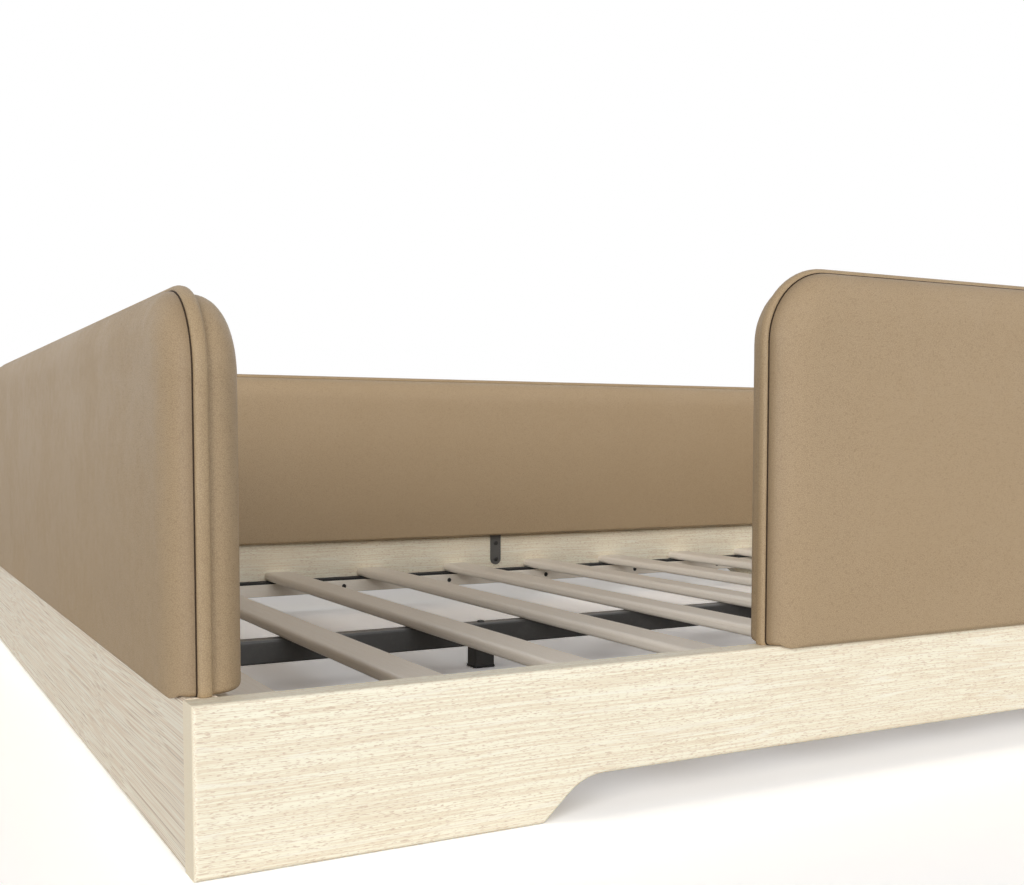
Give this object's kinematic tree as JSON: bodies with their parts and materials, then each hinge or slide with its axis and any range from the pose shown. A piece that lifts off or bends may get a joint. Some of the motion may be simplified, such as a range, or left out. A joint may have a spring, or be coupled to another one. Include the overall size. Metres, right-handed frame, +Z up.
{
  "type": "toddler floor bed",
  "caption": "Low wooden floor bed with padded leather guards on all sides, an entry opening at the front, and a slatted base on a steel centre beam.",
  "frame": {"origin": "on the floor, under the middle of the bed", "axes": "+X along the long front board from the entry's end, +Y from the front to the back, +Z up"},
  "size_m": [2.114, 1.524, 0.5385],
  "materials": {
    "frame_wood": "matt, fine straight grain",
    "slat_wood": "smooth matt lacquer",
    "core_board": "raw plywood",
    "guard_leather": "fine grained faux leather, satin",
    "strip_rubber": "matt",
    "black_steel": "black powder coat, satin",
    "foot_plastic": "matt",
    "black_screw": "black oxide",
    "zinc_steel": "zinc plated"
  },
  "bodies": {
    "root": {"front_rail": "frame_wood", "back_rail": "frame_wood", "left_end_rail": "frame_wood", "right_end_rail": "frame_wood", "front_slat_ledge": "slat_wood", "front_ledge_strip": "strip_rubber", "back_slat_ledge": "slat_wood", "back_ledge_strip": "strip_rubber", "slat_01": "slat_wood", "slat_02": "slat_wood", "slat_03": "slat_wood", "slat_04": "slat_wood", "slat_05": "slat_wood", "slat_06": "slat_wood", "slat_07": "slat_wood", "slat_08": "slat_wood", "slat_09": "slat_wood", "slat_10": "slat_wood", "centre_beam": "black_steel", "left_beam_cradle": "black_steel", "left_centre_leg": "black_steel", "left_leg_foot": "foot_plastic", "right_beam_cradle": "black_steel", "right_centre_leg": "black_steel", "right_leg_foot": "foot_plastic", "leg_nuts": "zinc_steel", "front_guard_core": "core_board", "front_guard_band": "guard_leather", "front_guard_outer_pad": "guard_leather", "front_guard_inner_pad": "guard_leather", "back_guard_core": "core_board", "back_guard_band": "guard_leather", "back_guard_outer_pad": "guard_leather", "back_guard_inner_pad": "guard_leather", "left_guard_core": "core_board", "left_guard_band": "guard_leather", "left_guard_outer_pad": "guard_leather", "left_guard_inner_pad": "guard_leather", "right_guard_core": "core_board", "right_guard_band": "guard_leather", "right_guard_outer_pad": "guard_leather", "right_guard_inner_pad": "guard_leather", "front_guard_strap_left": "black_steel", "front_guard_strap_middle": "black_steel", "front_guard_strap_right": "black_steel", "back_guard_strap_left": "black_steel", "back_guard_strap_middle": "black_steel", "back_guard_strap_right": "black_steel", "left_guard_strap_front": "black_steel", "left_guard_strap_back": "black_steel", "right_guard_strap_front": "black_steel", "right_guard_strap_back": "black_steel", "front_left_corner_bracket": "black_steel", "front_right_corner_bracket": "black_steel", "back_right_corner_bracket": "black_steel", "back_left_corner_bracket": "black_steel", "ledge_screws": "black_screw", "rail_screws": "black_screw", "guard_core_screws": "black_screw", "leg_bolts": "black_screw"}
  },
  "joints": []
}
